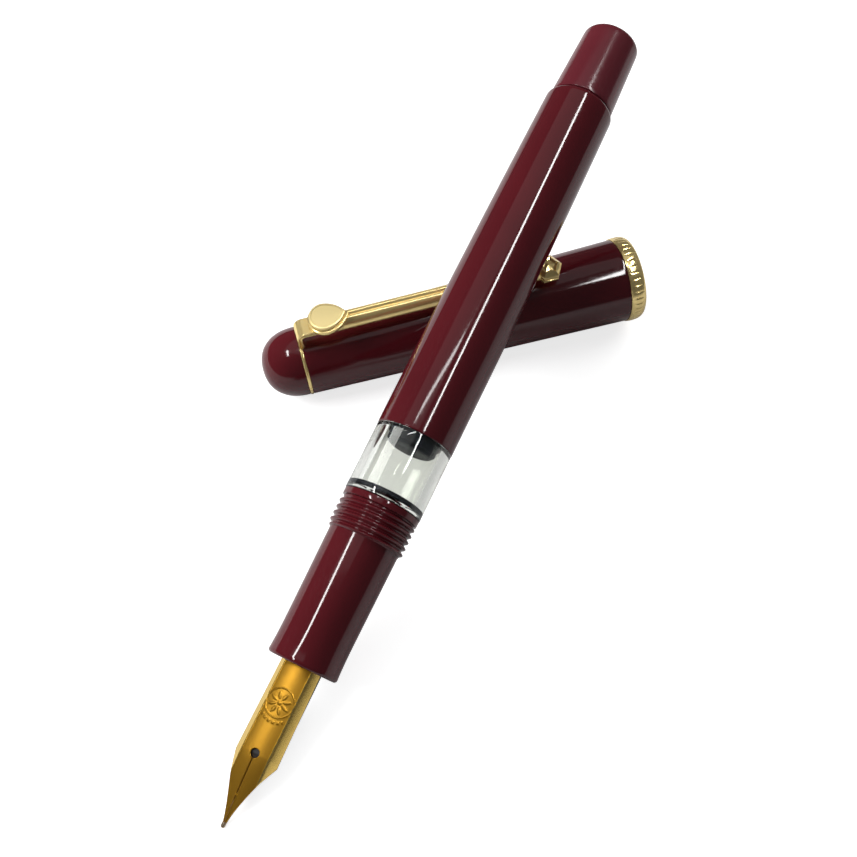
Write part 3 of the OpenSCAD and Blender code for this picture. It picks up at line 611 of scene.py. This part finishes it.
nib_gold, nodes, links, shader, polish = make_gold("nib_gold", 0.9, (0.95, 0.60, 0.12),
    (1.0, 0.74, 0.24), 0.12, 0.22, 6, 420, 0.06)
place, parts, panel = (nodes.new("ShaderNodeTexCoord"), nodes.new("ShaderNodeSeparateXYZ"),
    nodes.new("ShaderNodeMath"))
links.new(place.outputs["UV"], parts.inputs["Vector"])
panel.operation = "COMPARE"
panel.inputs[1].default_value = 0.5
panel.inputs[2].default_value = panel_y / (2 * shoulder_w)
links.new(parts.outputs["Y"], panel.inputs[0])
# The brushed panel gets a higher roughness. The darker gold that is multiplied into its base colour is painted
# shade, which keeps the middle panel darker than the flanks.
panel_roughness, painted_panel_shade = 0.22, (0.62, 0.46, 0.16, 1)
matte = nodes.new("ShaderNodeMath")
matte.operation = "MULTIPLY_ADD"
matte.inputs[1].default_value = panel_roughness
links.new(panel.outputs[0], matte.inputs[0])
links.new(polish.outputs["Result"], matte.inputs[2])
links.new(matte.outputs[0], shader.inputs["Roughness"])
# Painted shade: the panel's base colour is multiplied by the darker gold.
panel_shade_mix = nodes.new("ShaderNodeMix")
panel_shade_mix.data_type, panel_shade_mix.blend_type = "RGBA", "MULTIPLY"
panel_shade_mix.inputs["B"].default_value = painted_panel_shade
links.new(panel.outputs[0], panel_shade_mix.inputs["Factor"])
links.new(shader.inputs["Base Color"].links[0].from_socket, panel_shade_mix.inputs["A"])
links.new(panel_shade_mix.outputs["Result"], shader.inputs["Base Color"])

points, uv, kept = (np.concatenate(pair) for pair in zip(nib_half(1), nib_half(-1)))
nib = lay_surface("nib_sheet", points, pen_seat, uv=uv, kept=kept[:-1], crease=50)
finish_piece(nib, nib_gold, "pen", "gold", "nib")

# ---- Tipping ----
# A pellet of hard pale alloy, welded to the tip and ground to the writing angle.

iridium, nodes, links, shader = new_material("iridium")
shader.inputs["Metallic"].default_value = 1
mottled(nodes, links, shader, (0.52, 0.36, 0.22), (0.72, 0.58, 0.42), 1500)
add_marks(nodes, links, shader, 0.25, 0.45, 900, 9000, 0.1)
repaint("nib_tipping", iridium)

# ---- Piston and its screw ----
# The black rubber seal, with two lips, is snapped on the ivory nylon rod. The rod's two flats slide in the
# housing, so the turning spindle in its bore drives it without turning it.

ivory_nylon, nodes, links, shader = new_material("ivory_nylon")
shader.inputs["Subsurface Weight"].default_value = 0.1
shader.inputs["Subsurface Scale"].default_value = 0.001
mottled(nodes, links, shader, (0.72, 0.69, 0.60), (0.80, 0.77, 0.69), 300)
add_marks(nodes, links, shader, 0.3, 0.45, 250, 3000, 0.05)

seal_front, seal_rear, seal_lip_r = reach("piston_seal", pen_seat)
seal_face, seal_body_r, lip_t, stud_front, stud_hole_r = seal_front + 0.75, 3.66, 0.7, seal_front + 2, 1.62
first_lip = barrel_front + 0.2
seal_corners = [(seal_face, 0), (seal_face + 0.06, 2.6), (seal_face + 0.2, 3.3),
    (seal_face + 0.55, seal_body_r), (first_lip, seal_body_r), (first_lip, seal_lip_r),
    (first_lip + lip_t, seal_lip_r),
    (first_lip + lip_t, seal_body_r), (seal_rear - lip_t, seal_body_r), (seal_rear - lip_t, seal_lip_r),
    (seal_rear, seal_lip_r), (seal_rear, stud_hole_r), (stud_front, stud_hole_r), (stud_front, 0)]
seal = lay_surface("piston_seal_plug", turned(refined(np.array(seal_corners), 0.4, closed=False)), pen_seat)
finish_piece(seal, black_rubber, "piston", "black_rubber", "piston_seal")
repaint("piston_rod", ivory_nylon)
repaint("spindle", ivory_nylon)

# ---- Housing, its seal, retaining ring and washer ----
# The nylon housing is pressed in the barrel's rear with a rubber ring round it. A steel ring holds the
# spindle's collar in it, and a thin washer lets the knob turn smoothly on that ring.

steel, nodes, links, shader = new_material("turned_steel")
shader.inputs["Metallic"].default_value = 1
mottled(nodes, links, shader, (0.50, 0.50, 0.52), (0.66, 0.66, 0.68), 900)
add_marks(nodes, links, shader, 0.2, 0.4, 600, 6000, 0.1)
repaint("mechanism_housing", ivory_nylon)
repaint("housing_o_ring", black_rubber)
repaint("retaining_ring", steel)
repaint("friction_washer", black_plastic)

# ---- Barrel ----
# Long burgundy shell, moulded and polished, widest near the window. It is screwed on the reservoir tube.

barrel_front_r, barrel_rear_r, barrel_swell, barrel_bore_r, barrel_mouth_r = 5.7, 5.38, 0.07, 5.0, 4.2
barrel_stations = np.linspace(barrel_front + 0.2, barrel_rear - 0.8, 90)
along_barrel = (barrel_stations - barrel_front) / (barrel_rear - barrel_front)
barrel_radii = (barrel_front_r + (barrel_rear_r - barrel_front_r) * along_barrel ** 2
    + 4 * barrel_swell * along_barrel * (1 - along_barrel))
edge_turn = np.linspace(0, np.pi / 2, 12)
front_edge = np.stack([barrel_front + 0.2 * (1 - np.cos(edge_turn)),
    barrel_radii[0] - 0.2 * (1 - np.sin(edge_turn))], -1)
rear_edge = np.stack([barrel_rear - 0.8 * (1 - np.sin(edge_turn)),
    barrel_radii[-1] - 0.8 * (1 - np.cos(edge_turn))], -1)
barrel_bore = [(barrel_rear, barrel_mouth_r), (barrel_rear - 1, barrel_mouth_r),
    (barrel_rear - 1, barrel_bore_r), (barrel_front, barrel_bore_r)]
barrel_outline = refined(np.concatenate([front_edge, np.stack([barrel_stations, barrel_radii], -1)[1:-1],
    rear_edge, np.array(barrel_bore)]), 1)
barrel = lay_surface("barrel_shell", turned(barrel_outline, 180), pen_seat, loop=True)
finish_piece(barrel, burgundy_resin, "pen", "burgundy_resin", "barrel")

# ---- Turning knob ----
# Burgundy resin like the barrel, with a fine lathe finish that is a little duller. It is cemented on the
# spindle's stem, and its thin neck turns in the barrel's mouth.

knob_resin = make_resin("knob_resin", (0.085, 0.010, 0.016), (0.12, 0.016, 0.023), 0.16, 0.28, 0.05)

neck_front, knob_rear, _ = reach("turning_knob", pen_seat)
knob_front = (np.array(knob_turn["pos_m"]) / mm - pen_seat[0]) @ pen_seat[1][0]
knob_front_r, knob_rear_r, knob_edge_r, knob_dome = 4.95, 4.45, 1.1, 0.45
knob_neck_r, stem_hole_r, stem_hole_depth = 3.9, 2.02, 6
edge_at = knob_rear - knob_dome - knob_edge_r
edge_from_r = knob_front_r + (knob_rear_r - knob_front_r) * (edge_at - knob_front) / (knob_rear - knob_front)
knob_sides = [(knob_front + stem_hole_depth, 0), (knob_front + stem_hole_depth, stem_hole_r),
    (neck_front, stem_hole_r), (neck_front, knob_neck_r), (knob_front, knob_neck_r),
    (knob_front, knob_front_r - 0.15), (knob_front + 0.05, knob_front_r - 0.04),
    (knob_front + 0.15, knob_front_r)]
knob_edge = np.stack([edge_at + knob_edge_r * np.sin(edge_turn[:-1]),
    edge_from_r - knob_edge_r * (1 - np.cos(edge_turn[:-1]))], -1)
inward = np.linspace(1, 0, 12)
dome = np.stack([knob_rear - knob_dome * inward ** 2, (edge_from_r - knob_edge_r) * inward], -1)
knob_outline = refined(np.concatenate([np.array(knob_sides), knob_edge, dome]), 0.5, closed=False)
knob = lay_surface("knob_body", turned(knob_outline), pen_seat)
finish_piece(knob, knob_resin, "knob", "knob_resin", "turning_knob")

# ---- Cap tube ----
# Burgundy resin tube that widens towards its mouth. Inside are the seat of the liner, a plain bore and the
# thread that takes the grip's.

clip_flex = joints["clip_flex"]
cap_along = np.array(mounts["cap_mouth"]["axis"])
cap_seat = make_seat(np.array(mounts["cap_mouth"]["pos_m"]) / mm, cap_along,
    np.cross(clip_flex["axis"], cap_along), "cap_finial")
tube_at, tube_mouth, _ = reach("cap_tube", cap_seat)
band_at, cap_mouth, _ = reach("cap_band", cap_seat)
liner_at, liner_end, _ = reach("cap_liner", cap_seat)
tube_front_r, tube_rear_r, band_seat_r, mouth_bore_r, cap_bore_r = 5.5, 6.66, 6.27, 5.85, 5.15
liner_seat_r, screw_hole_r, boss_hole_r, boss_depth = 4.75, 1.52, 3.02, 1.02
inner_crest_r = thread_root_r + 0.12
thread_zone_rear = cap_mouth - mounts["cap_mouth"]["dims"]["length_mm"]
cap_thread_front = (np.array(mounts["cap_bore"]["pos_m"]) / mm - cap_seat[0]) @ cap_along
cap_corners = [(tube_at, boss_hole_r), (tube_at, tube_front_r), (band_at, tube_rear_r),
    (band_at, band_seat_r), (tube_mouth, band_seat_r), (tube_mouth, mouth_bore_r),
    (thread_zone_rear, mouth_bore_r),
    (thread_zone_rear, inner_crest_r), (cap_thread_front, inner_crest_r), (cap_thread_front, cap_bore_r),
    (liner_end, cap_bore_r), (liner_end, liner_seat_r), (liner_at, liner_seat_r), (liner_at, screw_hole_r),
    (tube_at + boss_depth, screw_hole_r), (tube_at + boss_depth, boss_hole_r)]
cap_outline = refined(rounded(cap_corners, 0.12), 0.4)
inner_thread = (np.abs(cap_outline[:, 1:] - inner_crest_r) < 0.01)
cap_tube = lay_surface("cap_tube_shell", turned(cap_outline, 180, lambda station, angle: inner_thread
    * thread_relief(station, angle, cap_thread_front, thread_turns, thread_pitch, thread_depth)),
    cap_seat, loop=True)
finish_piece(cap_tube, burgundy_resin, "cap", "burgundy_resin", "cap_tube")

# ---- Inner liner ----
# Black moulded cup that closes on the grip's lip when the pen is capped, so that the nib doesn't dry.

repaint("cap_liner", black_plastic)

# ---- Finial and its screw ----
# Solid burgundy dome. A slotted steel screw from inside the cap clamps dome, clip ring, tube and liner.

finial_end, finial_base_r = reach("clip_ring", cap_seat)[0], 5.46
screw_front = reach("finial_screw", cap_seat)[0]
boss_r, boss_end = 3.0, tube_at + 1
finial_turn = np.linspace(0, np.pi / 2, 48)
round_power = 2 / 2.3
dome_outline = np.stack([finial_end * (1 - np.cos(finial_turn) ** round_power),
    finial_base_r * np.sin(finial_turn) ** round_power], -1)
dome_outline[-1] = (finial_end - 0.08, finial_base_r)
finial_back = [(finial_end, finial_base_r - 0.1), (finial_end, boss_r), (boss_end, boss_r),
    (boss_end, screw_hole_r), (screw_front, screw_hole_r), (screw_front, 0)]
finial_outline = refined(np.concatenate([dome_outline, np.array(finial_back)]), 0.5, closed=False)
finial = lay_surface("finial_dome", turned(finial_outline), cap_seat)
finish_piece(finial, burgundy_resin, "cap", "burgundy_resin", "cap_finial")
repaint("finial_screw", steel)

# ---- Mouth band ----
# Gold-plated collar, pressed on the cap's mouth, with rounded edges and a ring of forty rounded lobes.

trim_gold = make_gold("trim_gold", 0.72, (1.0, 0.70, 0.24), (1.0, 0.84, 0.42), 0.12, 0.22, 30, 30, 0.03)[0]

band_r, band_length = 6.86, cap_mouth - band_at
along_band = np.linspace(0, 1, 48)
band_radii = (tube_rear_r + 0.04 + (band_r - tube_rear_r - 0.04) * np.sin(np.pi * along_band ** 0.75) ** 0.6
    - 0.3 * along_band ** 6)
band_bore = [(cap_mouth, mouth_bore_r + 0.1), (cap_mouth - 0.1, mouth_bore_r),
    (tube_mouth + 0.02, mouth_bore_r), (tube_mouth + 0.02, band_seat_r + 0.02), (band_at, band_seat_r + 0.02)]
band_outline = refined(np.concatenate([np.stack([band_at + band_length * along_band, band_radii], -1),
    np.array(band_bore)]), 0.3)


lobe_count, groove_depth = 40, 0.09


def lobes(station, angle):
    """Rounded lobes round the band, parted by fine grooves. A groove's depth goes with
    (1 - |sin(lobes / 2 angle)|)^3, and it fades out towards both edges of the band."""
    groove = (1 - np.abs(np.sin(lobe_count / 2 * angle))) ** 3
    middle = np.clip(1.6 - np.abs(station - band_at - band_length * 0.5) / 0.55, 0, 1)
    return -groove_depth * groove * middle * (band_outline[:, 1:] > tube_rear_r - 0.2)


band = lay_surface("mouth_band", turned(band_outline, 640, lobes), cap_seat, loop=True)
finish_piece(band, trim_gold, "cap", "gold", "cap_band")

# ---- Clip ring ----
# Thin gold-plated washer, clamped between finial and tube, whose rounded rim stands out a little.

ring_front, ring_rear, ring_rim_r = reach("clip_ring", cap_seat)
ring_corners = [(ring_front, boss_r + 0.02), (ring_front, ring_rim_r), (ring_rear, ring_rim_r),
    (ring_rear, boss_r + 0.02)]
ring = lay_surface("clip_washer", turned(refined(rounded(ring_corners, 0.16), 0.4)), cap_seat, loop=True)
finish_piece(ring, trim_gold, "cap", "gold", "clip_ring")

# ---- Clip ----
# Gold-plated brass. A folded stem rises from the ring and turns forward, the rolled arm carries a deep
# groove along its top, and a six-sided end piece with a small foot closes it.

arm_height, arm_r, clip_sheet, stem_w = 8.3, 1.45, 0.85, 3.0
stem_top = arm_height + 1
medallion_at, clip_end_at, clip_end_r = 11.0, 46.2, 2.3
arm_at = medallion_at + 1.6
clip_root = reach("clip", cap_seat)[0]


def carried(path, section):
    """A closed section (across, out) carried along a path (station, height). At each point the section stands
    square to the path, with out on the left of its direction, and the two ends are drawn in to close."""
    way = np.gradient(path, axis=0)
    way /= np.linalg.norm(way, axis=1, keepdims=True)
    out = np.stack([-way[:, 1], way[:, 0]], -1)
    station = path[:, 0:1] + out[:, 0:1] * section[None, :, 1]
    height = path[:, 1:2] + out[:, 1:2] * section[None, :, 1]
    across = np.broadcast_to(section[None, :, 0], station.shape)
    body = np.stack([station, across, height], -1)
    return np.concatenate([body[:1].mean(1, keepdims=True).repeat(len(section), 1), body,
        body[-1:].mean(1, keepdims=True).repeat(len(section), 1)])


half_t = clip_sheet / 2
stem_section = refined(rounded([(-stem_w / 2, -half_t), (stem_w / 2, -half_t), (stem_w / 2, -0.1),
    (stem_w / 2 - 0.2, 0), (stem_w / 2, 0.1), (stem_w / 2, half_t), (-stem_w / 2, half_t), (-stem_w / 2, 0.1),
    (-stem_w / 2 + 0.2, 0), (-stem_w / 2, -0.1)], 0.12, 3), 0.3)
bend_r = 0.95
bend = np.linspace(np.pi, np.pi / 2, 12)
stem_foot = 5.75
stem_rise = np.linspace(stem_foot, stem_top - half_t - bend_r, 8, endpoint=False)
stem_run = np.linspace(clip_root + half_t + bend_r, arm_at + 1, 12)[1:]
stem_path = np.concatenate([np.stack([np.full(8, clip_root + half_t), stem_rise], -1),
    np.stack([clip_root + half_t + bend_r + bend_r * np.cos(bend),
        stem_top - half_t - bend_r + bend_r * np.sin(bend)], -1),
    np.stack([stem_run, np.full(11, stem_top - half_t)], -1)])
stem = lay_surface("clip_stem", carried(stem_path, stem_section), cap_seat)
finish_piece(stem, trim_gold, "clip", "gold", "clip")


def arm_section(columns=96):
    """Round bar, cut flat below, with a groove in its top: the radius shrinks where the angle is near the
    groove's, and the height never goes below the flat."""
    angle = np.linspace(0, 2 * np.pi, columns, endpoint=False)
    groove = np.exp(-((angle - np.pi / 2 + 0.12) / 0.24) ** 2) * 0.42
    across = (arm_r - groove) * np.cos(angle)
    height = np.maximum((arm_r - groove) * np.sin(angle), -0.5)
    return np.stack([across, height], -1)


arm_path = np.stack([np.linspace(arm_at, clip_end_at - 0.7 * clip_end_r, 60), np.full(60, arm_height)], -1)
arm = lay_surface("clip_arm", carried(arm_path, arm_section()), cap_seat)
finish_piece(arm, trim_gold, "clip", "gold")


def levelled(centre, reach_at, levels):
    """Rows of points round an upright axis. Each level is (inset, height): the outline reach_at(angle), drawn
    in by the inset, at that height. An inset of None is the middle point, which closes the shape."""
    columns = 192
    angle = np.linspace(0, 2 * np.pi, columns, endpoint=False)
    rows = [np.stack([centre + far * np.cos(angle), far * np.sin(angle), np.full(columns, height)], -1)
        for inset, height in levels
        for far in (np.zeros(columns) if inset is None else reach_at(angle) - inset,)]
    return np.stack(rows)


def six_sided(angle):
    """Distance from the middle to the side of a hexagon, in the direction of the angle."""
    sixth = np.pi / 3
    return clip_end_r * math.cos(sixth / 2) / np.cos(angle % sixth - sixth / 2)


end_bottom, end_top = arm_height - 0.65, arm_height + 1.35
end_levels = [(None, end_bottom), (0.25, end_bottom), (0.06, end_bottom + 0.08), (0, end_bottom + 0.2),
    (0, end_bottom + 0.45), (0.14, end_bottom + 0.52), (0.14, end_bottom + 0.62), (0, end_bottom + 0.7),
    (0, end_top - 0.75), (0.05, end_top - 0.66), (0.62, end_top - 0.14), (0.70, end_top - 0.08),
    (0.80, end_top - 0.22), (1.1, end_top - 0.30), (None, end_top - 0.02)]
end_piece = lay_surface("clip_end", levelled(clip_end_at, six_sided, end_levels), cap_seat, crease=20)
finish_piece(end_piece, trim_gold, "clip", "gold")

foot_r = 1.0
tube_flare = (tube_rear_r - tube_front_r) * (clip_end_at + foot_r - tube_at) / (band_at - tube_at)
tube_r_at_foot = tube_front_r + tube_flare
foot_bottom = tube_r_at_foot + 0.1
foot_levels = [(None, foot_bottom), (0.5, foot_bottom + 0.02), (0.2, foot_bottom + 0.12),
    (0.0, foot_bottom + 0.35), (0, end_bottom + 0.1), (None, end_bottom + 0.1)]
foot = lay_surface("clip_foot", levelled(clip_end_at, lambda angle: np.full(angle.shape, foot_r),
    foot_levels), cap_seat)
finish_piece(foot, trim_gold, "clip", "gold")

# ---- Medallion ----
# Two stacked plates with rounded edges, satin gold, soldered on the stem. Each is round towards the closed
# end and pointed towards the mouth, and the upper one has a raised rim.

satin_gold = make_gold("satin_gold", 0.65, (1.0, 0.76, 0.30), (1.0, 0.86, 0.46), 0.3, 0.45, 160, 160, 0.1)[0]

base_r, face_r = 2.55, 2.25


def medallion_reach(radius):
    """A circle joined to a point: in front, the outline is the farther of the circle and two arcs of 1.75
    times the radius that meet on the middle line."""
    arc_r, arc_x, arc_y = 1.75 * radius, -0.1 * radius, -0.75 * radius

    def far(angle):
        toward = arc_x * np.cos(angle) + arc_y * np.abs(np.sin(angle))
        point = toward + np.sqrt(toward ** 2 - arc_x ** 2 - arc_y ** 2 + arc_r ** 2)
        return np.where(np.cos(angle) > 0, np.maximum(point, radius), radius)
    return far


def plate_levels(bottom, top, edge, rim):
    """A flat plate with rounded edges, and inside a rim a shallow dish that rises to the middle again."""
    return [(None, bottom), (edge, bottom), (edge * 0.3, bottom + edge * 0.3), (0, bottom + edge),
        (0, top - edge), (edge * 0.3, top - edge * 0.3), (edge, top), (rim, top),
        (rim + 0.08, top - 0.07), (1.2, top - 0.04), (None, top)]


plate_t = 0.8
base_plate = lay_surface("medallion_base_plate", levelled(medallion_at, medallion_reach(base_r),
    plate_levels(stem_top, stem_top + plate_t, 0.16, 0.5)), cap_seat, crease=40)
finish_piece(base_plate, trim_gold, "clip", "gold", "medallion_base")
face_plate = lay_surface("medallion_face_plate", levelled(medallion_at, medallion_reach(face_r),
    plate_levels(stem_top + plate_t, stem_top + 2 * plate_t, 0.18, 0.32)), cap_seat, crease=40)
finish_piece(face_plate, satin_gold, "clip", "gold", "medallion_face")
